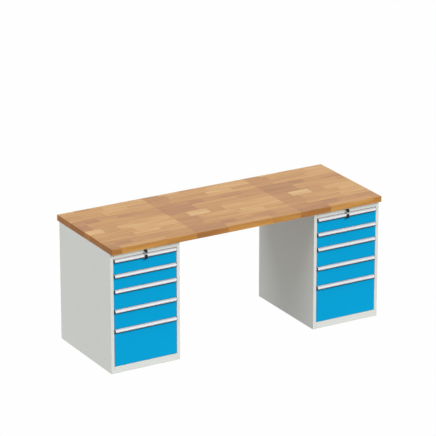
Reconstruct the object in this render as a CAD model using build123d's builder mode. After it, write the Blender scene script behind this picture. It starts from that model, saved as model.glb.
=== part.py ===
"""Workbench with a glued beech worktop on two sheet-steel drawer pedestals, five drawers in each.

Frame: +X to the right, +Y to the back, +Z up, in millimetres. The origin lies on the floor, under the
middle of the worktop. Every piece is drawn once, in its pedestal's or drawer's own frame, and placed.
"""
import math
import os

from build123d import *

# Worktop
WORKTOP_LENGTH = 2000.0
WORKTOP_DEPTH = 750.0
WORKTOP_THICKNESS = 40.0
WORKTOP_CHAMFER = 1.5
BENCH_HEIGHT = 850.0

# Pedestal housing, folded from sheet steel
PEDESTAL_WIDTH = 498.0
PEDESTAL_DEPTH = 695.0
SIDE_OVERHANG = 2.0
FRONT_OVERHANG = 28.0
SHEET = 1.2
BEND = 1.0
STILE_WIDTH = 23.0
STILE_RETURN = 18.0
REAR_FLANGE = 20.0
FASCIA_HEIGHT = 37.0
FASCIA_RETURN = 12.0
PLINTH_HEIGHT = 45.0
FLOOR_FLANGE = 25.0
TOP_PAN_RETURN = 25.0
WELD_GAP = 0.2

# Drawer fronts, from the top down; the lowest drawer takes the height that is left
UPPER_FRONT_HEIGHTS = (100.0, 100.0, 130.0, 130.0)
FRONT_GAP = 3.0
TOP_GAP = 3.0
BOTTOM_GAP = 2.0
SIDE_GAP = 1.5
FRONT_RECESS = 1.0
FRONT_THICKNESS = 15.0
FRONT_CORNER = 1.0

# Handle strip, an aluminium extrusion with a plastic cap at each end
HANDLE_REACH = 14.0
HANDLE_DROP = 18.0
HANDLE_LIP = 4.0
HANDLE_WALL = 1.6
HANDLE_TOP = 1.2
HANDLE_HOOK = 9.0
HANDLE_BEAD = 0.7
CAP_THICKNESS = 4.0
EDGING_HEIGHT = 5.0
EDGING_THICKNESS = 2.4

# Drawer trays
TRAY_SHEET = 1.0
TRAY_LIFT = 12.0
TRAY_HEADROOM = 18.0
TRAY_LIP = 8.0
LOCK_SPACE = 46.0

# Telescopic slides: cabinet rail, middle rail, drawer rail
SLIDE_THICKNESS = 12.7
SLIDE_HEIGHT = 35.0
SLIDE_SHEET = 1.2
SLIDE_AIR = 0.8
BALL_GAP = 1.2
BALL_STRIP_PLAY = 0.1
SLIDE_FRONT_SETBACK = 20.0
SLIDE_REAR_SETBACK = 27.0
SLIDE_ABOVE_TRAY_FLOOR = 25.0
UPRIGHT_DEPTH = 30.0
UPRIGHT_SETBACK = 3.0
UPRIGHT_TOP_GAP = 8.0

# Central lock: cylinder in the fascia, spindle to the back, hooked bar that rises behind the drawers
LOCK_FLANGE_RADIUS = 11.0
LOCK_FLANGE_THICKNESS = 3.0
LOCK_BARREL_RADIUS = 9.0
LOCK_BARREL_LENGTH = 24.0
LOCK_NUT_SIZE = 24.0
LOCK_NUT_THICKNESS = 5.0
LOCK_PLUG_RADIUS = 6.5
RUNNING_CLEARANCE = 0.1
FIT_CLEARANCE = 0.2
SPINDLE_RADIUS = 4.0
CRANK_RADIUS = 10.0
CRANK_THICKNESS = 4.0
CRANK_WIDTH = 12.0
CRANK_PIN_RADIUS = 2.5
CRANK_PIN_PROUD = 1.5
CRANK_SLOT_PLAY = 0.8
KEY_TURN_DEGREES = 90.0
BAR_WIDTH = 36.0
BAR_THICKNESS = 2.0
BAR_OFF_BACK = 3.6
BAR_TOP_MARGIN = 5.5
HOOK_WIDTH = 22.0
HOOK_PLAY = 3.0
HOOK_LIP = 10.5
HOOK_LIFTED_CLEARANCE = 1.5
CATCH_WIDTH = 30.0
CATCH_REACH = 16.0
CATCH_LIP = 10.0
CATCH_SHEET = 2.0
CATCH_ABOVE_TRAY_FLOOR = 45.0
GUIDE_HEIGHT = 20.0
GUIDE_SHEET = 1.0
GUIDE_PLAY = 1.0
GUIDE_ABOVE_HOOK = 6.0
GUIDED_DRAWERS = (2, 5)
BRACKET_WIDTH = 30.0
BRACKET_THICKNESS = 2.0
BRACKET_DROP = 12.0

# Key, ring and tag; the ring runs round the lower rim of the key's eye, clear of it however the key turns
KEY_BLADE_THICKNESS = 2.0
KEY_BLADE_WIDTH = 8.0
KEY_BLADE_LENGTH = 18.0
KEY_BOW_CENTRE = 16.0
KEY_BOW_RADIUS = 12.0
KEY_EYE_RADIUS = 4.0
KEY_BOW_THICKNESS = 7.0
RING_RADIUS = 11.0
RING_WIRE_RADIUS = 0.6
RING_PLAY = 0.3
TAG_WIDTH = 19.0
TAG_HEIGHT = 28.0
TAG_THICKNESS = 4.0
TAG_LUG_WIDTH = 5.0
TAG_LUG_RADIUS = 2.4
TAG_HOLE_RADIUS = 1.1
TAG_CORNER = 2.0

# Screws that hold the worktop, driven up from inside the pedestals
SCREW_RADIUS = 3.0
SCREW_HEAD_RADIUS = 6.5
SCREW_HEAD_HEIGHT = 4.0
SCREW_GRIP = 28.0
SCREW_HOLE_RADIUS = 3.4
SCREW_PILOT_PLAY = 0.1
SCREW_FROM_SIDE = 49.0
SCREW_FROM_FRONT = 60.0
SCREW_FROM_BACK = 75.0

# Places worked out from the sizes above
PEDESTAL_HEIGHT = BENCH_HEIGHT - WORKTOP_THICKNESS
PEDESTAL_X = WORKTOP_LENGTH / 2 - SIDE_OVERHANG - PEDESTAL_WIDTH / 2
PEDESTAL_PLACES = {"left": -PEDESTAL_X, "right": PEDESTAL_X}
FRONT_Y = -WORKTOP_DEPTH / 2 + FRONT_OVERHANG
BACK_Y = FRONT_Y + PEDESTAL_DEPTH
HALF_WIDTH = PEDESTAL_WIDTH / 2
WEB_X = HALF_WIDTH - SHEET
HALF_OPENING = HALF_WIDTH - STILE_WIDTH
OPENING_TOP = PEDESTAL_HEIGHT - FASCIA_HEIGHT
OPENING_BOTTOM = PLINTH_HEIGHT
INNER_BACK_Y = BACK_Y - 2 * SHEET

FACE_Y = FRONT_Y + FRONT_RECESS
FRONT_WIDTH = 2 * (HALF_OPENING - SIDE_GAP)
TRAY_FRONT_Y = FACE_Y + FRONT_THICKNESS
TRAY_BACK_Y = BACK_Y - LOCK_SPACE
SLIDE_X = HALF_OPENING - SLIDE_AIR
TRAY_WIDTH = 2 * (SLIDE_X - SLIDE_THICKNESS)
SLIDE_FRONT_Y = FACE_Y + SLIDE_FRONT_SETBACK
SLIDE_BACK_Y = TRAY_BACK_Y - SLIDE_REAR_SETBACK
SLIDE_LENGTH = SLIDE_BACK_Y - SLIDE_FRONT_Y
DRAWER_TRAVEL = SLIDE_LENGTH

LOCK_Z = PEDESTAL_HEIGHT - FASCIA_HEIGHT / 2
BAR_BACK_Y = INNER_BACK_Y - BAR_OFF_BACK
BAR_FRONT_Y = BAR_BACK_Y - BAR_THICKNESS
CRANK_FRONT_Y = BAR_FRONT_Y - 2 * CRANK_THICKNESS
BRACKET_Y = CRANK_FRONT_Y - 2 * BRACKET_THICKNESS
CRANK_PIN_OFFSET = CRANK_RADIUS * math.sin(math.radians(KEY_TURN_DEGREES / 2))
BAR_LIFT = 2 * CRANK_PIN_OFFSET
HOOK_FRONT_Y = TRAY_BACK_Y + CATCH_REACH - CATCH_SHEET - HOOK_PLAY - BAR_THICKNESS
HOOK_BELOW_CATCH = CATCH_LIP + HOOK_LIFTED_CLEARANCE + BAR_LIFT
KEY_Y = FRONT_Y - KEY_BOW_CENTRE
KEY_RIM_Z = LOCK_Z - (KEY_EYE_RADIUS + KEY_BOW_RADIUS) / 2
KEY_RIM_REACH = math.hypot((KEY_BOW_RADIUS - KEY_EYE_RADIUS) / 2, KEY_BOW_THICKNESS / 2)
RING_TOP_Z = KEY_RIM_Z + KEY_RIM_REACH + RING_WIRE_RADIUS + RING_PLAY
TAG_PIVOT_Z = RING_TOP_Z - 2 * RING_RADIUS


def drawer_stack():
    """(number, lower edge, front height) of each drawer, from the top down."""
    stack = []
    top = OPENING_TOP - TOP_GAP
    for number, height in enumerate(UPPER_FRONT_HEIGHTS, start=1):
        stack.append((number, top - height, height))
        top -= height + FRONT_GAP
    lowest = OPENING_BOTTOM + BOTTOM_GAP
    stack.append((len(stack) + 1, lowest, top - lowest))
    return stack


def hook_levels():
    """Height of the floor of each bar hook with the drawers free, from the top down."""
    return [low + TRAY_LIFT + CATCH_ABOVE_TRAY_FLOOR - HOOK_BELOW_CATCH for _, low, _ in drawer_stack()]


def screw_places():
    """Where the worktop screws stand, in a pedestal's own frame."""
    across = HALF_WIDTH - SCREW_FROM_SIDE
    rows = (FRONT_Y + SCREW_FROM_FRONT, BACK_Y - SCREW_FROM_BACK)
    return [(x, y) for x in (-across, across) for y in rows]


def section_across(y):
    """A vertical plane across the bench at y: sketch x is +X, sketch y is +Z, extrusion goes forward."""
    return Plane(origin=(0, y, 0), x_dir=(1, 0, 0), z_dir=(0, -1, 0))


def section_along(x):
    """A vertical plane along the depth at x: sketch x is +Y, sketch y is +Z, extrusion goes to +X."""
    return Plane(origin=(x, 0, 0), x_dir=(0, 1, 0), z_dir=(1, 0, 0))


def folded(points, sheet, side):
    """The section of a folded sheet: a line with rounded bends, thickened to one side."""
    with BuildSketch() as section:
        with BuildLine():
            FilletPolyline(*points, radius=sheet + BEND)
            offset(amount=sheet, side=side)
        make_face()
    return section.sketch


def together(*shapes):
    """One piece of the assembly from several separate solids."""
    return Compound([solid for shape in shapes for solid in shape.solids()])


# ---------------------------------------------------------------- worktop

def make_worktop():
    with BuildPart() as worktop:
        with BuildSketch(Plane.XY.offset(PEDESTAL_HEIGHT)):
            Rectangle(WORKTOP_LENGTH, WORKTOP_DEPTH)
        extrude(amount=WORKTOP_THICKNESS)
        chamfer(worktop.edges(), WORKTOP_CHAMFER)
        with BuildSketch(Plane.XY.offset(PEDESTAL_HEIGHT)):
            for pedestal_x in PEDESTAL_PLACES.values():
                with Locations(*[(pedestal_x + x, y) for x, y in screw_places()]):
                    Circle(SCREW_RADIUS + SCREW_PILOT_PLAY)
        extrude(amount=SCREW_GRIP + SCREW_PILOT_PLAY, mode=Mode.SUBTRACT)
    return worktop.part


def make_worktop_screws():
    """Pan-head screws; the head bears on the underside of the pedestal's top pan."""
    head_top = PEDESTAL_HEIGHT - SHEET
    with BuildPart() as screws:
        for pedestal_x in PEDESTAL_PLACES.values():
            spots = [(pedestal_x + x, y) for x, y in screw_places()]
            with BuildSketch(Plane.XY.offset(head_top - SCREW_HEAD_HEIGHT)):
                with Locations(*spots):
                    Circle(SCREW_HEAD_RADIUS)
            extrude(amount=SCREW_HEAD_HEIGHT)
            with BuildSketch(Plane.XY.offset(head_top)):
                with Locations(*spots):
                    Circle(SCREW_RADIUS)
            extrude(amount=SHEET + SCREW_GRIP)
    return screws.part


# ---------------------------------------------------------------- pedestal housing

def make_side_panels():
    """Two mirrored C-shaped panels; the front edge is folded into the stile and its return."""
    outline = [
        (-HALF_OPENING, FRONT_Y + STILE_RETURN),
        (-HALF_OPENING, FRONT_Y),
        (-HALF_WIDTH, FRONT_Y),
        (-HALF_WIDTH, BACK_Y),
        (-HALF_WIDTH + REAR_FLANGE, BACK_Y),
    ]
    section = folded(outline, SHEET, Side.RIGHT)
    with BuildPart() as panels:
        with BuildSketch():
            add(section)
        extrude(amount=PEDESTAL_HEIGHT)
        mirror(about=Plane.YZ)
    return panels.part


def make_base_pan():
    """Plinth rail, drawer floor and rear rail in one fold; the lower flanges stand on the ground."""
    outline = [
        (FRONT_Y + FLOOR_FLANGE, 0),
        (FRONT_Y, 0),
        (FRONT_Y, PLINTH_HEIGHT),
        (INNER_BACK_Y, PLINTH_HEIGHT),
        (INNER_BACK_Y, 0),
        (INNER_BACK_Y - FLOOR_FLANGE, 0),
    ]
    section = folded(outline, SHEET, Side.RIGHT)
    with BuildPart() as base:
        with BuildSketch(section_along(-HALF_OPENING + WELD_GAP)):
            add(section)
        extrude(amount=2 * (HALF_OPENING - WELD_GAP))
        with BuildSketch(Plane.XY.offset(PLINTH_HEIGHT - SHEET)):
            deck_front = FRONT_Y + STILE_RETURN + WELD_GAP
            deck_back = INNER_BACK_Y - SHEET - BEND
            with Locations((0, (deck_front + deck_back) / 2)):
                Rectangle(2 * (WEB_X - WELD_GAP), deck_back - deck_front)
        extrude(amount=SHEET)
    return base.part


def make_top_pan():
    """Fascia and closed top in one fold, with a hanging bracket that carries the lock spindle."""
    outline = [
        (FRONT_Y + FASCIA_RETURN, OPENING_TOP),
        (FRONT_Y, OPENING_TOP),
        (FRONT_Y, PEDESTAL_HEIGHT),
        (INNER_BACK_Y, PEDESTAL_HEIGHT),
        (INNER_BACK_Y, PEDESTAL_HEIGHT - TOP_PAN_RETURN),
    ]
    section = folded(outline, SHEET, Side.RIGHT)
    with BuildPart() as pan:
        with BuildSketch(section_along(-HALF_OPENING + WELD_GAP)):
            add(section)
        extrude(amount=2 * (HALF_OPENING - WELD_GAP))
        with BuildSketch(Plane.XY.offset(PEDESTAL_HEIGHT - SHEET)):
            deck_front = FRONT_Y + STILE_RETURN + WELD_GAP
            deck_back = INNER_BACK_Y - SHEET - BEND
            with Locations((0, (deck_front + deck_back) / 2)):
                Rectangle(2 * (WEB_X - WELD_GAP), deck_back - deck_front)
        extrude(amount=SHEET)
        with BuildSketch(section_across(FRONT_Y + 2 * SHEET)):
            with Locations((0, LOCK_Z)):
                Circle(LOCK_BARREL_RADIUS + FIT_CLEARANCE)
        extrude(amount=4 * SHEET, mode=Mode.SUBTRACT)
        with BuildSketch(Plane.XY.offset(PEDESTAL_HEIGHT - 2 * SHEET)):
            with Locations(*screw_places()):
                Circle(SCREW_HOLE_RADIUS)
        extrude(amount=4 * SHEET, mode=Mode.SUBTRACT)
    with BuildPart() as bracket:
        with BuildSketch(section_across(BRACKET_Y)):
            bracket_height = PEDESTAL_HEIGHT - SHEET - LOCK_Z + BRACKET_DROP
            with Locations((0, LOCK_Z - BRACKET_DROP + bracket_height / 2)):
                Rectangle(BRACKET_WIDTH, bracket_height)
            with Locations((0, LOCK_Z)):
                Circle(SPINDLE_RADIUS + RUNNING_CLEARANCE, mode=Mode.SUBTRACT)
        extrude(amount=BRACKET_THICKNESS)
    return together(pan.part, bracket.part)


def make_back_panel():
    """Flat rear sheet behind the pans, with two hat-shaped guides for the lock bar."""
    with BuildPart() as back:
        with BuildSketch(section_across(BACK_Y - SHEET)):
            with Locations((0, PEDESTAL_HEIGHT / 2)):
                Rectangle(2 * (WEB_X - BEND - WELD_GAP), PEDESTAL_HEIGHT)
        extrude(amount=SHEET)
    half = BAR_WIDTH / 2 + GUIDE_PLAY + GUIDE_SHEET
    guide_y = BAR_FRONT_Y - GUIDE_PLAY - GUIDE_SHEET
    outline = [(-half, INNER_BACK_Y), (-half, guide_y), (half, guide_y), (half, INNER_BACK_Y)]
    section = folded(outline, GUIDE_SHEET, Side.LEFT)
    levels = hook_levels()
    with BuildPart() as guides:
        for number in GUIDED_DRAWERS:
            guide_z = levels[number - 1] + HOOK_LIP + BAR_LIFT + GUIDE_ABOVE_HOOK
            with BuildSketch(Plane.XY.offset(guide_z)):
                add(section)
            extrude(amount=GUIDE_HEIGHT)
    return together(back.part, guides.part)


# ---------------------------------------------------------------- slides

def make_rail_pair(web_x, flange_length, half_height, towards_centre):
    """Two mirrored C-shaped rails: the web stands at web_x and its flanges point one way across."""
    direction = -1 if towards_centre else 1
    with BuildPart() as pair:
        with BuildSketch(section_across(SLIDE_BACK_Y)):
            with Locations((web_x + direction * flange_length / 2, 0)):
                Rectangle(flange_length, 2 * half_height)
            with Locations((web_x + direction * (SLIDE_SHEET + flange_length / 2), 0)):
                Rectangle(flange_length, 2 * (half_height - SLIDE_SHEET), mode=Mode.SUBTRACT)
        extrude(amount=SLIDE_LENGTH)
        mirror(about=Plane.YZ)
    return pair.part


# Rails nest with a ball gap between them, from the cabinet inwards.
CABINET_RAIL_HALF = SLIDE_HEIGHT / 2
MIDDLE_RAIL_HALF = CABINET_RAIL_HALF - SLIDE_SHEET - BALL_GAP
DRAWER_RAIL_HALF = MIDDLE_RAIL_HALF - SLIDE_SHEET - BALL_GAP
MIDDLE_RAIL_X = SLIDE_X - SLIDE_SHEET - SLIDE_AIR
CABINET_RAIL_REACH = SLIDE_THICKNESS - SLIDE_SHEET - SLIDE_AIR
MIDDLE_RAIL_REACH = SLIDE_THICKNESS - 2 * SLIDE_SHEET - 2 * SLIDE_AIR
DRAWER_RAIL_X = SLIDE_X - SLIDE_THICKNESS
DRAWER_RAIL_REACH = SLIDE_THICKNESS - 2 * SLIDE_SHEET - 3 * SLIDE_AIR


def make_cabinet_rails():
    """Four folded uprights on the side panels and the fixed rail of every slide."""
    foot_x = WEB_X - WELD_GAP
    outline = [(foot_x, 0), (SLIDE_X, 0), (SLIDE_X, UPRIGHT_DEPTH), (foot_x, UPRIGHT_DEPTH)]
    section = folded(outline, SHEET, Side.RIGHT)
    front_upright_y = SLIDE_FRONT_Y + UPRIGHT_SETBACK
    rear_upright_y = SLIDE_BACK_Y - UPRIGHT_SETBACK - UPRIGHT_DEPTH
    with BuildPart() as uprights:
        with BuildSketch(Plane.XY.offset(PLINTH_HEIGHT)):
            with Locations((0, front_upright_y), (0, rear_upright_y)):
                add(section)
        extrude(amount=PEDESTAL_HEIGHT - PLINTH_HEIGHT - UPRIGHT_TOP_GAP)
        mirror(about=Plane.YZ)
    fixed_rails = make_rail_pair(SLIDE_X, CABINET_RAIL_REACH, CABINET_RAIL_HALF, towards_centre=True)
    levels = [low + TRAY_LIFT + SLIDE_ABOVE_TRAY_FLOOR for _, low, _ in drawer_stack()]
    return together(uprights.part, *[fixed_rails.moved(Location((0, 0, level))) for level in levels])


def make_middle_rails():
    """The running pair between cabinet and drawer, with the ball strips of both races."""
    mid_y = (SLIDE_FRONT_Y + SLIDE_BACK_Y) / 2
    rails = make_rail_pair(MIDDLE_RAIL_X, MIDDLE_RAIL_REACH, MIDDLE_RAIL_HALF, towards_centre=True)
    with BuildPart() as strips:
        strip_half = (BALL_GAP - 2 * BALL_STRIP_PLAY) / 2
        inner_reach = DRAWER_RAIL_REACH - 2 * SLIDE_AIR
        outer_centre = MIDDLE_RAIL_X - MIDDLE_RAIL_REACH / 2
        inner_centre = DRAWER_RAIL_X + SLIDE_SHEET + SLIDE_AIR + inner_reach / 2
        for sign in (-1, 1):
            outer_z = sign * (MIDDLE_RAIL_HALF + BALL_GAP / 2)
            inner_z = sign * (DRAWER_RAIL_HALF + BALL_GAP / 2)
            with Locations((outer_centre, (mid_y + SLIDE_BACK_Y) / 2, outer_z)):
                Box(MIDDLE_RAIL_REACH - 2 * SLIDE_AIR, SLIDE_LENGTH / 2, 2 * strip_half)
            with Locations((inner_centre, (mid_y + SLIDE_FRONT_Y) / 2, inner_z)):
                Box(inner_reach, SLIDE_LENGTH / 2, 2 * strip_half)
        mirror(about=Plane.YZ)
    return together(rails, strips.part)


# ---------------------------------------------------------------- drawers, z = 0 at the front's lower edge

def make_drawer_front(height):
    """A shallow pressed pan, open at the back, where the tray's front wall closes it."""
    with BuildPart() as front:
        with BuildSketch(section_across(TRAY_FRONT_Y)):
            with Locations((0, height / 2)):
                Rectangle(FRONT_WIDTH, height)
        extrude(amount=FRONT_THICKNESS)
        fillet(front.faces().sort_by(Axis.Y)[0].edges(), FRONT_CORNER)
        with BuildSketch(section_across(TRAY_FRONT_Y)):
            with Locations((0, height / 2)):
                Rectangle(FRONT_WIDTH - 2 * TRAY_SHEET, height - 2 * TRAY_SHEET)
        extrude(amount=FRONT_THICKNESS - TRAY_SHEET, mode=Mode.SUBTRACT)
    return front.part


def make_tray(height):
    """Side walls folded to a C, a floor on their lower flanges, end walls, rails and the lock's catch."""
    side = height - TRAY_LIFT - TRAY_HEADROOM
    half = TRAY_WIDTH / 2
    outline = [
        (-half + TRAY_LIP, TRAY_LIFT + side),
        (-half, TRAY_LIFT + side),
        (-half, TRAY_LIFT),
        (-half + TRAY_LIP, TRAY_LIFT),
    ]
    section = folded(outline, TRAY_SHEET, Side.LEFT)
    inner_length = TRAY_BACK_Y - TRAY_SHEET - TRAY_FRONT_Y
    with BuildPart() as side_walls:
        with BuildSketch(section_across(TRAY_BACK_Y - TRAY_SHEET)):
            add(section)
        extrude(amount=inner_length)
        mirror(about=Plane.YZ)
    with BuildPart() as floor:
        with BuildSketch(Plane.XY.offset(TRAY_LIFT + TRAY_SHEET)):
            with Locations((0, TRAY_FRONT_Y + inner_length / 2)):
                Rectangle(2 * (half - TRAY_SHEET - BEND - WELD_GAP), inner_length)
        extrude(amount=TRAY_SHEET)
    with BuildPart() as back_wall:
        with BuildSketch(section_across(TRAY_BACK_Y)):
            with Locations((0, TRAY_LIFT + side / 2)):
                Rectangle(TRAY_WIDTH, side)
        extrude(amount=TRAY_SHEET)
    with BuildPart() as inner_front:
        with BuildSketch(section_across(TRAY_FRONT_Y)):
            with Locations((0, height / 2)):
                Rectangle(
                    FRONT_WIDTH - 2 * (TRAY_SHEET + FIT_CLEARANCE),
                    height - 2 * (TRAY_SHEET + FIT_CLEARANCE),
                )
        extrude(amount=TRAY_SHEET)
    drawer_rails = make_rail_pair(DRAWER_RAIL_X, DRAWER_RAIL_REACH, DRAWER_RAIL_HALF, towards_centre=False)
    rails = drawer_rails.moved(Location((0, 0, TRAY_LIFT + SLIDE_ABOVE_TRAY_FLOOR)))
    catch_z = TRAY_LIFT + CATCH_ABOVE_TRAY_FLOOR
    with BuildPart() as catch:
        with BuildSketch(section_along(-CATCH_WIDTH / 2)):
            with BuildLine():
                Polyline(
                    (TRAY_BACK_Y, catch_z),
                    (TRAY_BACK_Y, catch_z + CATCH_SHEET),
                    (TRAY_BACK_Y + CATCH_REACH, catch_z + CATCH_SHEET),
                    (TRAY_BACK_Y + CATCH_REACH, catch_z - CATCH_LIP),
                    (TRAY_BACK_Y + CATCH_REACH - CATCH_SHEET, catch_z - CATCH_LIP),
                    (TRAY_BACK_Y + CATCH_REACH - CATCH_SHEET, catch_z),
                    close=True,
                )
            make_face()
        extrude(amount=CATCH_WIDTH)
    return together(
        side_walls.part, floor.part, back_wall.part, inner_front.part, rails, catch.part
    )


def make_handle(height):
    """Extruded grip strip hooked over the front's top edge, its two end caps and the edging under its lip."""
    tip_y = FACE_Y - HANDLE_REACH
    crest = height + HANDLE_TOP
    shoulder_y = FACE_Y - HANDLE_WALL
    lip_top = height - HANDLE_DROP + HANDLE_LIP
    slope = math.atan2(crest - lip_top, shoulder_y - tip_y)
    strip_half = FRONT_WIDTH / 2 - CAP_THICKNESS
    outline = [
        (FACE_Y + HANDLE_HOOK, crest),
        (shoulder_y, crest),
        (tip_y, lip_top),
        (tip_y, height - HANDLE_DROP),
    ]
    section = folded(outline, HANDLE_TOP, Side.LEFT)
    with BuildPart() as strip:
        with BuildSketch(section_along(-strip_half)):
            add(section)
            with Locations((FACE_Y - HANDLE_WALL / 2, height - HANDLE_DROP / 2)):
                Rectangle(HANDLE_WALL, HANDLE_DROP)
            with Locations((tip_y + HANDLE_WALL / 2, height - HANDLE_DROP + HANDLE_WALL / 2)):
                Circle(HANDLE_WALL / 2)
            for share in (0.16, 0.84):
                along = share * (crest - lip_top) / math.sin(slope)
                bead = (shoulder_y - along * math.cos(slope), crest - along * math.sin(slope))
                with Locations(bead):
                    Circle(HANDLE_BEAD)
        extrude(amount=2 * strip_half)
    caps = []
    for x in (-FRONT_WIDTH / 2, strip_half):
        with BuildPart() as cap:
            with BuildSketch(section_along(x)):
                with BuildLine():
                    Polyline(
                        (FACE_Y, crest),
                        (shoulder_y, crest),
                        (tip_y, lip_top),
                        (tip_y, height - HANDLE_DROP),
                        (FACE_Y, height - HANDLE_DROP),
                        close=True,
                    )
                make_face()
            extrude(amount=CAP_THICKNESS)
            fillet(cap.edges().filter_by(Axis.X).sort_by(Axis.Y)[:2], BEND)
        caps.append(cap.part)
    with BuildPart() as edging:
        with BuildSketch(section_along(-strip_half)):
            with Locations((tip_y + EDGING_THICKNESS / 2, height - HANDLE_DROP - EDGING_HEIGHT / 2)):
                Rectangle(EDGING_THICKNESS, EDGING_HEIGHT)
        extrude(amount=2 * strip_half)
    return together(strip.part, *caps, edging.part)


# ---------------------------------------------------------------- central lock

def make_lock_housing():
    """Flanged barrel through the fascia, held by a hexagon nut behind it."""
    with BuildPart() as barrel:
        with BuildSketch(section_across(FRONT_Y)):
            with Locations((0, LOCK_Z)):
                Circle(LOCK_FLANGE_RADIUS)
        extrude(amount=LOCK_FLANGE_THICKNESS)
        fillet(barrel.faces().sort_by(Axis.Y)[0].edges(), LOCK_FLANGE_THICKNESS / 3)
        with BuildSketch(section_across(FRONT_Y + LOCK_BARREL_LENGTH)):
            with Locations((0, LOCK_Z)):
                Circle(LOCK_BARREL_RADIUS)
        extrude(amount=LOCK_BARREL_LENGTH)
        with BuildSketch(section_across(FRONT_Y + LOCK_BARREL_LENGTH)):
            with Locations((0, LOCK_Z)):
                Circle(LOCK_PLUG_RADIUS + RUNNING_CLEARANCE)
        extrude(amount=LOCK_BARREL_LENGTH + LOCK_FLANGE_THICKNESS, mode=Mode.SUBTRACT)
    with BuildPart() as nut:
        with BuildSketch(section_across(FRONT_Y + SHEET + LOCK_NUT_THICKNESS)):
            with Locations((0, LOCK_Z)):
                RegularPolygon(LOCK_NUT_SIZE / 2, 6, major_radius=False)
                Circle(LOCK_BARREL_RADIUS + RUNNING_CLEARANCE, mode=Mode.SUBTRACT)
        extrude(amount=LOCK_NUT_THICKNESS)
    return together(barrel.part, nut.part)


def make_key_spindle():
    """Everything that turns with the key: plug and rod, crank with its pin, key blade and key bow."""
    plug_back = FRONT_Y + LOCK_BARREL_LENGTH + 2 * SHEET
    plug_front = FRONT_Y - LOCK_FLANGE_THICKNESS
    with BuildPart() as plug:
        with BuildSketch(section_across(plug_back)):
            with Locations((0, LOCK_Z)):
                Circle(LOCK_PLUG_RADIUS)
        extrude(amount=plug_back - plug_front)
        with BuildSketch(section_across(CRANK_FRONT_Y)):
            with Locations((0, LOCK_Z)):
                Circle(SPINDLE_RADIUS)
        extrude(amount=CRANK_FRONT_Y - plug_back)
        with BuildSketch(section_across(plug_front + KEY_BLADE_LENGTH)):
            with Locations((0, LOCK_Z)):
                Rectangle(KEY_BLADE_THICKNESS + 2 * FIT_CLEARANCE, KEY_BLADE_WIDTH + 2 * FIT_CLEARANCE)
        extrude(amount=KEY_BLADE_LENGTH, mode=Mode.SUBTRACT)
    pin_x, pin_z = -CRANK_PIN_OFFSET, LOCK_Z - CRANK_PIN_OFFSET
    with BuildPart() as crank:
        with BuildSketch(section_across(CRANK_FRONT_Y + CRANK_THICKNESS)):
            with Locations(Location((pin_x / 2, (LOCK_Z + pin_z) / 2), 45)):
                SlotCenterToCenter(CRANK_RADIUS, CRANK_WIDTH)
        extrude(amount=CRANK_THICKNESS)
        with BuildSketch(section_across(BAR_BACK_Y + CRANK_PIN_PROUD)):
            with Locations((pin_x, pin_z)):
                Circle(CRANK_PIN_RADIUS)
        extrude(amount=BAR_BACK_Y + CRANK_PIN_PROUD - CRANK_FRONT_Y - CRANK_THICKNESS)
    bow_back = KEY_Y + KEY_BOW_RADIUS
    with BuildPart() as blade:
        with BuildSketch(section_across(plug_front + KEY_BLADE_LENGTH - FIT_CLEARANCE)):
            with Locations((0, LOCK_Z)):
                Rectangle(KEY_BLADE_THICKNESS, KEY_BLADE_WIDTH)
        extrude(amount=plug_front + KEY_BLADE_LENGTH - FIT_CLEARANCE - bow_back)
    with BuildPart() as bow:
        with BuildSketch(section_along(-KEY_BOW_THICKNESS / 2)):
            with Locations((KEY_Y, LOCK_Z)):
                Circle(KEY_BOW_RADIUS)
            with Locations(((KEY_Y + bow_back) / 2, LOCK_Z)):
                Rectangle(KEY_BOW_RADIUS, KEY_BLADE_WIDTH)
            with Locations((KEY_Y, LOCK_Z)):
                Circle(KEY_EYE_RADIUS, mode=Mode.SUBTRACT)
        extrude(amount=KEY_BOW_THICKNESS)
    return together(plug.part, crank.part, blade.part, bow.part)


def make_key_fob():
    """Wire ring through the key's eye, and a plain tag that hangs from it by a round lug."""
    with BuildPart() as ring:
        with BuildSketch(section_along(0)):
            with Locations((KEY_Y, RING_TOP_Z)):
                Circle(RING_WIRE_RADIUS)
        ring_axis = Axis((0, KEY_Y, RING_TOP_Z - RING_RADIUS), (0, 1, 0))
        revolve(axis=ring_axis, revolution_arc=360)
    with BuildPart() as tag:
        with BuildSketch(section_across(KEY_Y + TAG_THICKNESS / 2)):
            with Locations((0, TAG_PIVOT_Z - TAG_LUG_RADIUS - TAG_HEIGHT / 2)):
                RectangleRounded(TAG_WIDTH, TAG_HEIGHT, TAG_CORNER)
        extrude(amount=TAG_THICKNESS)
        with BuildSketch(section_along(-TAG_LUG_WIDTH / 2)):
            with Locations((KEY_Y, TAG_PIVOT_Z)):
                Circle(TAG_LUG_RADIUS)
            with Locations((KEY_Y, TAG_PIVOT_Z - TAG_LUG_RADIUS)):
                Rectangle(TAG_THICKNESS, 2 * TAG_LUG_RADIUS)
        extrude(amount=TAG_LUG_WIDTH)
        with BuildSketch(section_along(-TAG_LUG_WIDTH)):
            with Locations((KEY_Y, TAG_PIVOT_Z)):
                Circle(TAG_HOLE_RADIUS)
        extrude(amount=2 * TAG_LUG_WIDTH, mode=Mode.SUBTRACT)
    return together(ring.part, tag.part)


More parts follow.
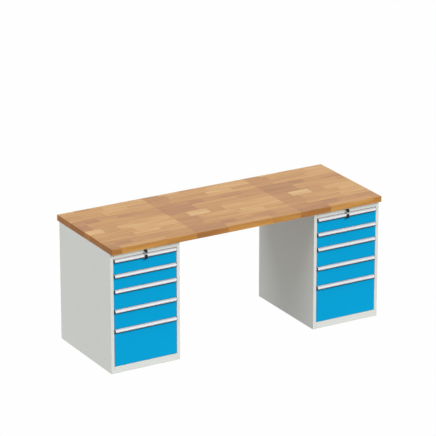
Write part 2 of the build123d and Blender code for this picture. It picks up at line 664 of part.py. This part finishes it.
def make_lock_bar():
    """Flat bar with a slot for the crank pin and an upturned hook for every drawer."""
    levels = hook_levels()
    pin_z = LOCK_Z - CRANK_PIN_OFFSET
    bar_top = pin_z + CRANK_PIN_RADIUS + CRANK_SLOT_PLAY + BAR_TOP_MARGIN
    bar_bottom = min(levels) - HOOK_LIP
    slot_radius = CRANK_PIN_RADIUS + CRANK_SLOT_PLAY
    slot_inner = CRANK_PIN_OFFSET - CRANK_SLOT_PLAY
    slot_outer = CRANK_RADIUS + CRANK_SLOT_PLAY
    with BuildPart() as bar:
        with BuildSketch(section_across(BAR_BACK_Y)):
            with Locations((0, (bar_top + bar_bottom) / 2)):
                Rectangle(BAR_WIDTH, bar_top - bar_bottom)
            with Locations((-(slot_inner + slot_outer) / 2, pin_z)):
                SlotCenterToCenter(slot_outer - slot_inner, 2 * slot_radius, mode=Mode.SUBTRACT)
        extrude(amount=BAR_THICKNESS)
        for level in levels:
            with BuildSketch(section_along(-HOOK_WIDTH / 2)):
                with BuildLine():
                    Polyline(
                        (BAR_FRONT_Y, level),
                        (BAR_FRONT_Y, level - BAR_THICKNESS),
                        (HOOK_FRONT_Y, level - BAR_THICKNESS),
                        (HOOK_FRONT_Y, level + HOOK_LIP),
                        (HOOK_FRONT_Y + BAR_THICKNESS, level + HOOK_LIP),
                        (HOOK_FRONT_Y + BAR_THICKNESS, level),
                        close=True,
                    )
                make_face()
            extrude(amount=HOOK_WIDTH)
    return bar.part


# ---------------------------------------------------------------- assembly

def write_piece(shape, name, place=(0, 0, 0)):
    piece = shape.moved(Location(place))
    piece.label = name
    export_step(piece, os.path.join("parts", name + ".step"))


def build_all():
    os.makedirs("parts", exist_ok=True)
    write_piece(make_worktop(), "worktop")
    write_piece(make_worktop_screws(), "worktop_screws")
    housing = {
        "side_panels": make_side_panels(),
        "back_panel": make_back_panel(),
        "base_pan": make_base_pan(),
        "top_pan": make_top_pan(),
        "cabinet_rails": make_cabinet_rails(),
        "lock_housing": make_lock_housing(),
        "key_spindle": make_key_spindle(),
        "key_fob": make_key_fob(),
        "lock_bar": make_lock_bar(),
    }
    middle_rails = make_middle_rails()
    for side, pedestal_x in PEDESTAL_PLACES.items():
        for name, shape in housing.items():
            write_piece(shape, f"{side}_{name}", (pedestal_x, 0, 0))
        for number, low, height in drawer_stack():
            drawer = f"{side}_drawer_{number}"
            place = (pedestal_x, 0, low)
            write_piece(make_drawer_front(height), f"{drawer}_front", place)
            write_piece(make_tray(height), f"{drawer}_tray", place)
            write_piece(make_handle(height), f"{drawer}_handle", place)
            rail_z = low + TRAY_LIFT + SLIDE_ABOVE_TRAY_FLOOR
            write_piece(middle_rails, f"{drawer}_middle_rails", (pedestal_x, 0, rail_z))


build_all()
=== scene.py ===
"""Looks of a workbench: beech worktop on two sheet-steel drawer pedestals, five blue drawers in each."""
import math

import bpy
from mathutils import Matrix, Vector


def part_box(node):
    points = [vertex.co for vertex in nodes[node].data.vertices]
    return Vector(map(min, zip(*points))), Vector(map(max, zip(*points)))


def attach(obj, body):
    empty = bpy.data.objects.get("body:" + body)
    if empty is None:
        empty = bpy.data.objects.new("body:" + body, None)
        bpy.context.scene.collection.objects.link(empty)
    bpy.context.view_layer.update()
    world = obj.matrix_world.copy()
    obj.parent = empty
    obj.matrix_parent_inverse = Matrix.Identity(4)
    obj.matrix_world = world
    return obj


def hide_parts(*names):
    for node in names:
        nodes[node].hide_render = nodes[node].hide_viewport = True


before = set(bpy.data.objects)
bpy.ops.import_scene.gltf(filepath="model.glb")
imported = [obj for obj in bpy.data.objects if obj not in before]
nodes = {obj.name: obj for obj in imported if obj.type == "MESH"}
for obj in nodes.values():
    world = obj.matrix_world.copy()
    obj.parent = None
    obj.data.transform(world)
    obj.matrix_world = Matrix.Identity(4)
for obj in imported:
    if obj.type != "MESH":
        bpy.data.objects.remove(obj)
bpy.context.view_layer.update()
MM = 0.001
SIDES = ("left", "right")
DRAWERS = range(1, 6)


# ------------------------------------------------------------------ pedestal housings
# Each pedestal is folded from 1.2 mm mild-steel sheet, spot-welded into a box and powder coated light grey.
# The coat is baked on in one pass, so it is even, semi-matt and very slightly orange-peeled.
# The orange peel is drawn coarser than it is, so that it can show at all in a close view.
HOUSING_PARTS = ("side_panels", "back_panel", "base_pan", "top_pan")
GREY_COAT = "b3b5b1"
GREY_COAT_SHADE = "afb1ad"
ORANGE_PEEL = 2.5
COAT_CLOUDS = 400.0
COAT_GLOSS_SPREAD = 0.04
SURFACE_RELIEF = 0.02


def colour(code):
    """An sRGB hex code as the linear colour a shader socket wants."""
    values = [int(code[i:i + 2], 16) / 255 for i in (0, 2, 4)]
    linear = [v / 12.92 if v <= 0.04045 else ((v + 0.055) / 1.055) ** 2.4 for v in values]
    return (*linear, 1.0)


def new_material(name):
    """A material with a Principled shader, and the nodes and links of its tree to add to."""
    material = bpy.data.materials.new(name)
    material.use_nodes = True
    tree = material.node_tree
    tree.nodes.clear()
    output = tree.nodes.new("ShaderNodeOutputMaterial")
    shader = tree.nodes.new("ShaderNodeBsdfPrincipled")
    tree.links.new(shader.outputs["BSDF"], output.inputs["Surface"])
    return material, tree, shader


def node(tree, kind, settings=None, **inputs):
    """Adds one shader node: settings are its properties, inputs its values or the sockets that feed it."""
    added = tree.nodes.new("ShaderNode" + kind)
    for key, value in (settings or {}).items():
        setattr(added, key, value)
    for key, value in inputs.items():
        socket = added.inputs[int(key[1:])] if key[0] == "i" and key[1:].isdigit() else added.inputs[key]
        if isinstance(value, bpy.types.NodeSocket):
            tree.links.new(value, socket)
        else:
            socket.default_value = value
    return added


def blend(tree, share, main, shade):
    """The socket of a mix of two sRGB hex colours, by a share from 0 to 1."""
    mix = node(tree, "Mix", {"data_type": "RGBA"}, i0=share, i6=colour(main), i7=colour(shade))
    return mix.outputs[2]


def powder_coat(name, main, shade, roughness, sheen):
    """Baked polyester powder: even colour, soft gloss, a fine orange-peel surface."""
    material, tree, shader = new_material(name)
    place = node(tree, "TexCoord").outputs["Object"]
    clouds = node(tree, "TexNoise", Vector=place, Scale=1 / (COAT_CLOUDS * MM), Detail=2.0)
    tint = blend(tree, clouds.outputs["Fac"], main, shade)
    peel = node(tree, "TexNoise", Vector=place, Scale=1 / (ORANGE_PEEL * MM), Detail=1.0)
    bump = node(tree, "Bump", Strength=0.12, Distance=SURFACE_RELIEF * MM, Height=peel.outputs["Fac"])
    limits = {"To Min": roughness - COAT_GLOSS_SPREAD, "To Max": roughness + COAT_GLOSS_SPREAD}
    gloss = node(tree, "MapRange", Value=clouds.outputs["Fac"], **limits)
    tree.links.new(tint, shader.inputs["Base Color"])
    tree.links.new(gloss.outputs["Result"], shader.inputs["Roughness"])
    tree.links.new(bump.outputs["Normal"], shader.inputs["Normal"])
    shader.inputs["IOR"].default_value = 1.5
    shader.inputs["Specular IOR Level"].default_value = sheen
    return material


def finish_with(names, material):
    """Gives CAD nodes their real finish."""
    for name in names:
        nodes[name].data.materials.clear()
        nodes[name].data.materials.append(material)


grey_coat = powder_coat("steel_powder_coated_light_grey", GREY_COAT, GREY_COAT_SHADE, 0.45, 0.4)
for side in SIDES:
    finish_with([f"{side}_{part}" for part in HOUSING_PARTS], grey_coat)


# ------------------------------------------------------------------ slides and lock bar
# The telescopic slides and the lock bar are rolled and stamped steel strip, bright zinc plated.
# The plating is thin and follows the rolling marks, so it shows a soft lengthwise brushing; the marks are
# drawn coarser than they are, so that they can show at all in a close view.
ZINC = "b4b8bc"
ZINC_DULL = "9a9ea3"
ROLLING_MARKS = 0.8
ROLLING_STRETCH = 60.0
METAL_GLOSS_SPREAD = 0.06


def brushed_metal(name, bright, dull, roughness, stretch):
    """Metal with fine parallel marks; stretch gives how much longer they are than wide, per axis."""
    material, tree, shader = new_material(name)
    place = node(tree, "TexCoord").outputs["Object"]
    scaled = node(tree, "Mapping", Vector=place, Scale=tuple(1 / s for s in stretch))
    fineness = 1 / (ROLLING_MARKS * MM)
    marks = node(tree, "TexNoise", Vector=scaled.outputs["Vector"], Scale=fineness, Detail=3.0)
    tint = blend(tree, marks.outputs["Fac"], bright, dull)
    bump = node(tree, "Bump", Strength=0.15, Distance=SURFACE_RELIEF * MM, Height=marks.outputs["Fac"])
    limits = {"To Min": roughness - METAL_GLOSS_SPREAD, "To Max": roughness + METAL_GLOSS_SPREAD}
    gloss = node(tree, "MapRange", Value=marks.outputs["Fac"], **limits)
    tree.links.new(tint, shader.inputs["Base Color"])
    tree.links.new(gloss.outputs["Result"], shader.inputs["Roughness"])
    tree.links.new(bump.outputs["Normal"], shader.inputs["Normal"])
    shader.inputs["Metallic"].default_value = 1.0
    return material


zinc = brushed_metal("steel_strip_zinc_plated", ZINC, ZINC_DULL, 0.36, (1, ROLLING_STRETCH, 1))
finish_with(["worktop_screws"], zinc)
for side in SIDES:
    finish_with([f"{side}_cabinet_rails", f"{side}_lock_bar"], zinc)
    finish_with([f"{side}_drawer_{number}_middle_rails" for number in DRAWERS], zinc)


# ------------------------------------------------------------------ drawer trays and fronts
# The trays are folded sheet with the housing's grey coat. Each front is a shallow pan with softly rounded
# edges, powder coated bright blue with a little more gloss than the housing.
BLUE_COAT = "0084b0"
BLUE_COAT_SHADE = "0080ab"

blue_coat = powder_coat("steel_powder_coated_blue", BLUE_COAT, BLUE_COAT_SHADE, 0.5, 0.03)
for side in SIDES:
    finish_with([f"{side}_drawer_{number}_tray" for number in DRAWERS], grey_coat)
    finish_with([f"{side}_drawer_{number}_front" for number in DRAWERS], blue_coat)


# ------------------------------------------------------------------ grip strips
# Each grip is a thin-walled aluminium extrusion, cut to length and satin anodised, hooked over the front's
# top edge; the die leaves faint lines along it. Moulded caps of black plastic close its ends. The black
# plastic strip under its lip is painted shade: it stands in for the dark shadow line that the grip casts on
# the blue front below it.
ANODISED = "a6a7a9"
ANODISED_DULL = "9b9c9f"
GRIP_WALL = 1.2
GRIP_HOOK = 9.0
GRIP_LIP = 4.0
GRIP_CROWN = 1.0
GRIP_STEPS = 6
BACK_STRIP_WALL = 1.6
CAP_THICKNESS = 4.0
# The black strip under each grip's lip is painted shade: it stands in for the shadow line the grip casts on
# the blue front.
PAINTED_SHADOW_HEIGHT = 5.0
PAINTED_SHADOW_THICKNESS = 2.4
PLASTIC_ROUNDING = 0.6
CAP_BLACK = "08080a"
CAP_GREY = "0e0e10"
MOULD_GRAIN = 0.6
STRIP_ROUNDING = 0.3
SHARP_ANGLE = math.radians(35)


def clear_selection():
    if bpy.context.object and bpy.context.object.mode != "OBJECT":
        bpy.ops.object.mode_set(mode="OBJECT")
    bpy.ops.object.select_all(action="DESELECT")


def name_piece(piece, name):
    piece.name = name
    piece.data.name = name


def apply_modifiers(piece):
    """Applies every modifier in order, with only this piece selected."""
    clear_selection()
    piece.select_set(True)
    bpy.context.view_layer.objects.active = piece
    for modifier in list(piece.modifiers):
        bpy.ops.object.modifier_apply(modifier=modifier.name)


def soften(piece, width, segments=2):
    """Rounds the piece's sharp edges and shades it smooth between the ones that stay."""
    bevel = piece.modifiers.new("rounding", "BEVEL")
    bevel.width = width * MM
    bevel.segments = segments
    bevel.limit_method = "ANGLE"
    bevel.angle_limit = SHARP_ANGLE
    apply_modifiers(piece)
    bpy.ops.object.shade_smooth_by_angle(angle=SHARP_ANGLE)
    settle_normals(piece)


def settle_normals(piece):
    """Lets the large faces keep their own direction, so that only the rounded edges shade smoothly."""
    weighting = piece.modifiers.new("weighting", "WEIGHTED_NORMAL")
    weighting.keep_sharp = True
    apply_modifiers(piece)


def block(name, low, high):
    """A cube brought to two opposite corners."""
    clear_selection()
    bpy.ops.mesh.primitive_cube_add(size=1, location=(low + high) / 2, scale=high - low)
    piece = bpy.context.object
    name_piece(piece, name)
    bpy.ops.object.transform_apply(location=True, rotation=True, scale=True)
    return piece


def drawn_strip(name, left, right, section, wall):
    """A strip of one section, (y, z) point by point: its edge is extruded along them, then thickened."""
    clear_selection()
    bpy.ops.mesh.primitive_plane_add(size=2)
    strip = bpy.context.object
    name_piece(strip, name)
    for vertex in strip.data.vertices:
        y, z = section[0] if vertex.co.y < 0 else section[1]
        vertex.co = (left if vertex.co.x < 0 else right, y, z)
    for start, end in zip(section[1:], section[2:]):
        bpy.ops.object.mode_set(mode="EDIT")
        bpy.ops.mesh.select_mode(type="VERT")
        bpy.ops.mesh.select_all(action="DESELECT")
        bpy.ops.object.mode_set(mode="OBJECT")
        for vertex in strip.data.vertices:
            vertex.select = (vertex.co.yz - Vector(start)).length < 1e-6
        bpy.ops.object.mode_set(mode="EDIT")
        bpy.ops.mesh.extrude_region_move(
            TRANSFORM_OT_translate={"value": (0, end[0] - start[0], end[1] - start[1])}
        )
        bpy.ops.object.mode_set(mode="OBJECT")
    thickness = strip.modifiers.new("wall", "SOLIDIFY")
    thickness.thickness = wall * MM
    thickness.offset = -1
    thickness.use_even_offset = True
    return strip


def moulded_plastic(name, main, shade, roughness):
    """Injection-moulded plastic: even colour, low gloss, a spark-eroded grain drawn coarser than it is."""
    material, tree, shader = new_material(name)
    place = node(tree, "TexCoord").outputs["Object"]
    grain = node(tree, "TexNoise", Vector=place, Scale=1 / (MOULD_GRAIN * MM), Detail=2.0)
    tint = blend(tree, grain.outputs["Fac"], main, shade)
    bump = node(tree, "Bump", Strength=0.3, Distance=0.03 * MM, Height=grain.outputs["Fac"])
    tree.links.new(tint, shader.inputs["Base Color"])
    tree.links.new(bump.outputs["Normal"], shader.inputs["Normal"])
    shader.inputs["Roughness"].default_value = roughness
    shader.inputs["Specular IOR Level"].default_value = 0.25
    return material


def grip_section(lowest, highest):
    """Hook, crown and lip of the grip in (y, z), from the back over the top to the lip's lower edge."""
    face_y = highest.y - GRIP_HOOK * MM
    shoulder = Vector((face_y - BACK_STRIP_WALL * MM, highest.z))
    brow = Vector((lowest.y, lowest.z + GRIP_LIP * MM))
    outward = (brow - shoulder).orthogonal().normalized()
    if outward.x > 0:
        outward = -outward
    section = [(highest.y, highest.z), tuple(shoulder)]
    for step in range(1, GRIP_STEPS):
        share = step / GRIP_STEPS
        crown = GRIP_CROWN * MM * math.sin(math.pi * share)
        section.append(tuple(shoulder.lerp(brow, share) + outward * crown))
    section.append(tuple(brow))
    section.append((lowest.y, lowest.z))
    return section


def end_cap(name, left, right, lowest, highest):
    """A block with its upper front corner cut to the grip's slope."""
    face_y = highest.y - GRIP_HOOK * MM
    cap = block(name, Vector((left, lowest.y, lowest.z)), Vector((right, face_y, highest.z)))
    rise = highest.z - lowest.z - GRIP_LIP * MM
    run = face_y - BACK_STRIP_WALL * MM - lowest.y
    bpy.ops.object.mode_set(mode="EDIT")
    bpy.ops.mesh.select_all(action="SELECT")
    bpy.ops.mesh.bisect(
        plane_co=(0, lowest.y - GRIP_CROWN * MM / 2, lowest.z + GRIP_LIP * MM),
        plane_no=(0, -rise, run),
        use_fill=True,
        clear_outer=True,
    )
    bpy.ops.object.mode_set(mode="OBJECT")
    return cap


def fit_piece(piece, material, body, replaced):
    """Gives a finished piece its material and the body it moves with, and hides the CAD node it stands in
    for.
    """
    piece.data.materials.append(material)
    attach(piece, body)
    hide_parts(replaced)


anodised = brushed_metal(
    "aluminium_extruded_satin_anodised", ANODISED, ANODISED_DULL, 0.6, (ROLLING_STRETCH, 1, 1)
)
black_plastic = moulded_plastic("plastic_moulded_black", CAP_BLACK, CAP_GREY, 0.5)
for side in SIDES:
    for number in DRAWERS:
        drawer = f"{side}_drawer_{number}"
        handle = f"{drawer}_handle"
        lowest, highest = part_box(handle)
        # The lowest part of the handle's box goes to that black strip of painted shadow; the grip starts
        # above it.
        painted_shadow_foot = lowest.copy()
        lowest.z += PAINTED_SHADOW_HEIGHT * MM
        left, right = lowest.x + CAP_THICKNESS * MM, highest.x - CAP_THICKNESS * MM
        face_y = highest.y - GRIP_HOOK * MM
        strip = drawn_strip(f"{drawer}_grip", left, right, grip_section(lowest, highest), GRIP_WALL)
        soften(strip, STRIP_ROUNDING)
        back_section = [(face_y, highest.z - GRIP_WALL * MM), (face_y, lowest.z)]
        backing = drawn_strip(f"{drawer}_grip_back", left, right, back_section, BACK_STRIP_WALL)
        soften(backing, STRIP_ROUNDING)
        painted_shadow_foot.x = left
        painted_shadow_top = Vector((right, lowest.y + PAINTED_SHADOW_THICKNESS * MM, lowest.z))
        painted_shadow_strip = block(f"{drawer}_edging", painted_shadow_foot, painted_shadow_top)
        caps = [
            end_cap(f"{drawer}_cap_left", lowest.x, left, lowest, highest),
            end_cap(f"{drawer}_cap_right", right, highest.x, lowest, highest),
        ]
        for piece in (painted_shadow_strip, *caps):
            soften(piece, PLASTIC_ROUNDING)
        for piece in (strip, backing):
            fit_piece(piece, anodised, drawer, handle)
        # The caps are real black plastic; the strip under the lip is painted shadow, made of the same black
        # plastic.
        for piece in (*caps, painted_shadow_strip):
            fit_piece(piece, black_plastic, drawer, handle)


# ------------------------------------------------------------------ locks and keys
# The lock is a brass cylinder, nickel plated, with a flanged barrel held by a hexagon nut behind the fascia.
# A long steel spindle turns with its plug. The key has a moulded black head on a nickel-plated blade, and a
# plain black tag hangs from it on a steel wire ring.
NICKEL = "c9c9c4"
NICKEL_DULL = "b5b5b0"
HEAD_ROUNDING = 1.6
BLADE_ROUNDING = 0.2
TAG_ROUNDING = 0.6


def solids_of(name, parts):
    """Copies a CAD node, welds the copy and parts it into its solids, named from the front backwards."""
    clear_selection()
    copy = nodes[name].copy()
    copy.data = nodes[name].data.copy()
    copy.parent = None
    for key in [k for k in copy.keys() if k.startswith("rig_")]:
        del copy[key]
    bpy.context.scene.collection.objects.link(copy)
    bpy.context.view_layer.objects.active = copy
    copy.select_set(True)
    bpy.ops.object.mode_set(mode="EDIT")
    bpy.ops.mesh.select_all(action="SELECT")
    bpy.ops.mesh.remove_doubles(threshold=1e-6)
    bpy.ops.mesh.dissolve_limited(angle_limit=math.radians(0.5))
    bpy.ops.mesh.separate(type="LOOSE")
    bpy.ops.object.mode_set(mode="OBJECT")
    pieces = sorted(bpy.context.selected_objects, key=front_of)
    if len(pieces) != len(parts):
        raise ValueError(f"{name} has {len(pieces)} solids, not {len(parts)}")
    for piece, part in zip(pieces, parts):
        name_piece(piece, part)
        piece.data.materials.clear()
    return pieces


def front_of(piece):
    """The lowest y of a piece, then its height, which sorts pieces from the front backwards."""
    places = [vertex.co for vertex in piece.data.vertices]
    return (round(min(place.y for place in places), 5), -max(place.z for place in places))


nickel = brushed_metal("brass_nickel_plated", NICKEL, NICKEL_DULL, 0.25, (1, 1, 1))
for side in SIDES:
    finish_with([f"{side}_lock_housing"], nickel)
    spindle_node = f"{side}_key_spindle"
    head, blade, plug, crank = solids_of(
        spindle_node, [f"{side}_key_head", f"{side}_key_blade", f"{side}_lock_plug", f"{side}_lock_crank"]
    )
    soften(head, HEAD_ROUNDING, 4)
    soften(blade, BLADE_ROUNDING)
    for piece, material, slot in (
        (head, black_plastic, "black_plastic"),
        (blade, nickel, "nickel"),
        (plug, nickel, "nickel"),
        (crank, zinc, "zinc"),
    ):
        fit_piece(piece, material, f"{side}_key", spindle_node)
    tag, ring = solids_of(f"{side}_key_fob", [f"{side}_key_tag", f"{side}_key_ring"])
    soften(tag, TAG_ROUNDING, 3)
    for piece, material, slot in ((tag, black_plastic, "black_plastic"), (ring, nickel, "nickel")):
        fit_piece(piece, material, f"{side}_fob", f"{side}_key_fob")


# ------------------------------------------------------------------ worktop
# The worktop is a 40 mm board of finger-jointed beech staves, glued side by side in rows that run its length,
# pressed in panels that meet at straight cross seams, then sanded flush and oiled. Staves come from different
# planks, so each has its own tone, from reddish heart to cream sapwood. Year rings and pores are drawn
# coarser than they are, so that they can show at all.
# Each row has its width and its staves from one panel seam to the next, as (length, tone).
STAVE_ROWS = (
    (77, ((122, 0.32), (150, 0.90), (110, 0.38), (387, 0.70))),
    (75, ((160, 0.30), (300, 0.55), (309, 0.72))),
    (45, ((155, 0.30), (265, 0.42), (190, 0.75), (159, 0.48))),
    (45, ((130, 0.35), (290, 0.55), (349, 0.62))),
    (72, ((235, 0.22), (105, 0.16), (130, 0.42), (160, 0.32), (139, 0.40))),
    (60, ((228, 0.14), (330, 0.50), (211, 0.38))),
    (56, ((228, 0.18), (180, 0.42), (361, 0.52))),
)
SAWN_OFF = 52.0
PANEL_LENGTH = 769.0
FIRST_SEAM = 613.0
WORKTOP_ROUNDING = 2.0
BEECH_TONES = ((0.0, "80501f"), (0.35, "946428"), (0.6, "a07232"), (1.0, "ae8a54"))
END_GRAIN_DARK = "6c4418"
END_GRAIN_LIGHT = "986029"
GLUE_LINE = 0.35
YEAR_RING = 16.0
END_RING = 2.4
PORE = 0.7
WOOD_RELIEF = 0.05
WOOD_IOR = 1.36
STAVE_SHIFT = (3.1, 7.7, 9.3)


def stave_rows(low, high):
    """Front and back y of each row, the rear one partly sawn off, and (start, end, tone) of its staves."""
    rows = []
    back = high.y + SAWN_OFF * MM
    while back > low.y + MM:
        width, staves = STAVE_ROWS[len(rows) % len(STAVE_ROWS)]
        front = back - width * MM
        spans = []
        start = low.x + (FIRST_SEAM - PANEL_LENGTH) * MM
        while start < high.x:
            for length, tone in staves:
                spans.append((start, start + length * MM, tone))
                start += length * MM
        rows.append((front, back, spans))
        back = front
    return rows


def split_faces(board, chosen, place, normal):
    """Cuts the faces that pass the test, along one plane; the board stays closed."""
    bpy.ops.object.mode_set(mode="EDIT")
    bpy.ops.mesh.select_mode(type="FACE")
    bpy.ops.mesh.select_all(action="DESELECT")
    bpy.ops.object.mode_set(mode="OBJECT")
    for face in board.data.polygons:
        face.select = chosen(face.center)
    bpy.ops.object.mode_set(mode="EDIT")
    bpy.ops.mesh.bisect(plane_co=place, plane_no=normal)
    bpy.ops.object.mode_set(mode="OBJECT")


def beech_wood(name):
    """Oiled beech: each stave's own tone, year rings and pores drawn out along it, fine glue lines."""
    material, tree, shader = new_material(name)
    place = node(tree, "TexCoord").outputs["Object"]
    start = node(tree, "Attribute", {"attribute_name": "stave_start"}).outputs["Vector"]
    end = node(tree, "Attribute", {"attribute_name": "stave_end"}).outputs["Vector"]
    start_parts = node(tree, "SeparateXYZ", i0=start)
    end_parts = node(tree, "SeparateXYZ", i0=end)
    shift = node(tree, "VectorMath", {"operation": "MULTIPLY_ADD"}, i0=start, i1=STAVE_SHIFT, i2=place)
    grain_place = node(tree, "Mapping", i0=shift.outputs["Vector"], Scale=(0.055, 1, 1))
    rings = node(tree, "TexNoise", i0=grain_place.outputs["Vector"], Scale=1 / (YEAR_RING * MM), Detail=3.0)
    pore_place = node(tree, "Mapping", i0=shift.outputs["Vector"], Scale=(0.12, 1, 1))
    pores = node(tree, "TexNoise", i0=pore_place.outputs["Vector"], Scale=1 / (PORE * MM), Detail=2.0)
    ring_tone = node(tree, "Math", {"operation": "MULTIPLY_ADD"}, i0=rings.outputs["Fac"], i1=1.1, i2=-0.55)
    tone = node(tree, "Math", {"operation": "ADD"}, i0=ring_tone.outputs[0], i1=end_parts.outputs["Z"])
    ramp = node(tree, "ValToRGB", i0=tone.outputs[0])
    for stop, (position, code) in enumerate(BEECH_TONES):
        element = ramp.color_ramp.elements[stop] if stop < 2 else ramp.color_ramp.elements.new(position)
        element.position = position
        element.color = colour(code)
    limits = {"From Min": 0.28, "From Max": 0.42, "To Min": 0.8, "To Max": 1.0}
    pore_dark = node(tree, "MapRange", Value=pores.outputs["Fac"], **limits)
    here = node(tree, "SeparateXYZ", i0=place)
    gaps = [
        node(tree, "Math", {"operation": "SUBTRACT"}, i0=first, i1=second).outputs[0]
        for first, second in (
            (here.outputs["X"], start_parts.outputs["X"]),
            (end_parts.outputs["X"], here.outputs["X"]),
            (here.outputs["Y"], start_parts.outputs["Y"]),
            (end_parts.outputs["Y"], here.outputs["Y"]),
        )
    ]
    nearest = gaps[0]
    for gap in gaps[1:]:
        nearest = node(tree, "Math", {"operation": "MINIMUM"}, i0=nearest, i1=gap).outputs[0]
    limits = {"From Min": 0.0, "From Max": GLUE_LINE * MM, "To Min": 0.55, "To Max": 1.0}
    glue = node(tree, "MapRange", Value=nearest, **limits)
    darker = node(tree, "Math", {"operation": "MULTIPLY"}, i0=pore_dark.outputs[0], i1=glue.outputs[0])
    wood = node(tree, "VectorMath", {"operation": "SCALE"}, i0=ramp.outputs["Color"], Scale=darker.outputs[0])
    bump = node(tree, "Bump", Strength=0.25, Distance=WOOD_RELIEF * MM, Height=pores.outputs["Fac"])
    tree.links.new(wood.outputs["Vector"], shader.inputs["Base Color"])
    tree.links.new(bump.outputs["Normal"], shader.inputs["Normal"])
    shader.inputs["Roughness"].default_value = 0.48
    shader.inputs["IOR"].default_value = WOOD_IOR
    return material


def beech_end_grain(name):
    """Sawn stave ends: darker, with close year rings across them and open pores."""
    material, tree, shader = new_material(name)
    place = node(tree, "TexCoord").outputs["Object"]
    end = node(tree, "Attribute", {"attribute_name": "stave_end"}).outputs["Vector"]
    start = node(tree, "Attribute", {"attribute_name": "stave_start"}).outputs["Vector"]
    shift = node(tree, "VectorMath", {"operation": "MULTIPLY_ADD"}, i0=start, i1=STAVE_SHIFT, i2=place)
    closeness = 0.25 / (END_RING * MM)
    rings = node(tree, "TexWave", {"bands_direction": "Z"}, i0=shift.outputs["Vector"], Scale=closeness)
    rings.inputs["Distortion"].default_value = 5.0
    rings.inputs["Detail"].default_value = 2.0
    rings.inputs["Detail Scale"].default_value = 0.3
    pores = node(tree, "TexNoise", i0=place, Scale=1 / (PORE * MM), Detail=2.0)
    fleck = node(tree, "Math", {"operation": "MULTIPLY_ADD"}, i0=pores.outputs["Fac"], i1=0.5, i2=-0.1)
    tone_parts = node(tree, "SeparateXYZ", i0=end)
    scaled_sum = {"operation": "MULTIPLY_ADD"}
    ring_tone = node(tree, "Math", scaled_sum, i0=rings.outputs["Fac"], i1=0.3, i2=fleck.outputs[0])
    tone = node(tree, "Math", scaled_sum, i0=tone_parts.outputs["Z"], i1=0.6, i2=ring_tone.outputs[0])
    tint = blend(tree, tone.outputs[0], END_GRAIN_DARK, END_GRAIN_LIGHT)
    bump = node(tree, "Bump", Strength=0.4, Distance=WOOD_RELIEF * MM, Height=pores.outputs["Fac"])
    tree.links.new(tint, shader.inputs["Base Color"])
    tree.links.new(bump.outputs["Normal"], shader.inputs["Normal"])
    shader.inputs["Roughness"].default_value = 0.6
    shader.inputs["IOR"].default_value = WOOD_IOR
    return material


low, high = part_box("worktop")
worktop = block("worktop_board", low, high)
soften(worktop, WORKTOP_ROUNDING, 2)
rows = stave_rows(low, high)
for front, back, spans in rows[:-1]:
    split_faces(worktop, lambda centre: True, (0, front, 0), (0, 1, 0))
for front, back, spans in rows:
    for start, end, tone in spans[1:]:
        if low.x + MM < start < high.x - MM:
            split_faces(worktop, lambda centre: front < centre.y < back, (start, 0, 0), (1, 0, 0))
settle_normals(worktop)
for name in ("stave_start", "stave_end"):
    worktop.data.attributes.new(name, "FLOAT_VECTOR", "CORNER")
starts = worktop.data.attributes["stave_start"]
ends = worktop.data.attributes["stave_end"]
for face in worktop.data.polygons:
    front, back, spans = next(row for row in rows if row[0] - MM / 10 <= face.center.y)
    start, end, tone = next(span for span in spans if face.center.x <= span[1] + MM / 10)
    for corner in face.loop_indices:
        starts.data[corner].vector = (start, front, tone)
        ends.data[corner].vector = (end, back, tone)
    face.material_index = 1 if abs(face.normal.x) > 0.7 else 0
worktop.data.materials.append(beech_wood("beech_staves_oiled"))
worktop.data.materials.append(beech_end_grain("beech_end_grain_oiled"))
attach(worktop, "bench")
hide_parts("worktop")


# ------------------------------------------------------------------ floor, light and camera
# The floor is a white light table, so the bench stands on it without a shadow, under soft studio lamps and a
# dim white dome. The camera stands far off with a long lens, so that parallel edges stay nearly parallel.
FLOOR_WHITE = "fefefe"
DOME_STRENGTH = 0.3
LIGHTS = (
    ("side_light", 0.76, 40, (0, -48, 0)),
    ("front_light", 1.15, 30, (56, 0, 20)),
    ("back_light", 0.24, 40, (-62, 0, -30)),
)
CAMERA_PLACE = (-8.8672, -15.2931, 7.1927)
CAMERA_YAW = 30.05
CAMERA_PITCH = 19.99
CAMERA_LENS = 239.05

scene = bpy.context.scene
scene.view_settings.view_transform = "Standard"
clear_selection()
bpy.ops.mesh.primitive_plane_add(size=60.0, location=(0, 0, 0))
floor = bpy.context.object
floor.name = "floor"
floor_material, tree, shader = new_material("floor_white")
shader.inputs["Base Color"].default_value = (0, 0, 0, 1)
shader.inputs["Specular IOR Level"].default_value = 0.0
shader.inputs["Emission Color"].default_value = colour(FLOOR_WHITE)
shader.inputs["Emission Strength"].default_value = 1.0
floor.data.materials.append(floor_material)

world = bpy.data.worlds.new("studio")
scene.world = world
world.use_nodes = True
world.node_tree.nodes["Background"].inputs["Color"].default_value = (1, 1, 1, 1)
world.node_tree.nodes["Background"].inputs["Strength"].default_value = DOME_STRENGTH

for name, strength, spread, turn in LIGHTS:
    light = bpy.data.lights.new(name, "SUN")
    light.energy = strength * math.pi
    light.angle = math.radians(spread)
    lamp = bpy.data.objects.new(name, light)
    lamp.rotation_euler = [math.radians(angle) for angle in turn]
    scene.collection.objects.link(lamp)

camera_data = bpy.data.cameras.new("camera")
camera_data.lens = CAMERA_LENS
camera_data.sensor_width = 36.0
camera_data.clip_end = 100.0
camera = bpy.data.objects.new("camera", camera_data)
camera.location = CAMERA_PLACE
camera.rotation_euler = (math.radians(90 - CAMERA_PITCH), 0, math.radians(-CAMERA_YAW))
scene.collection.objects.link(camera)
scene.camera = camera
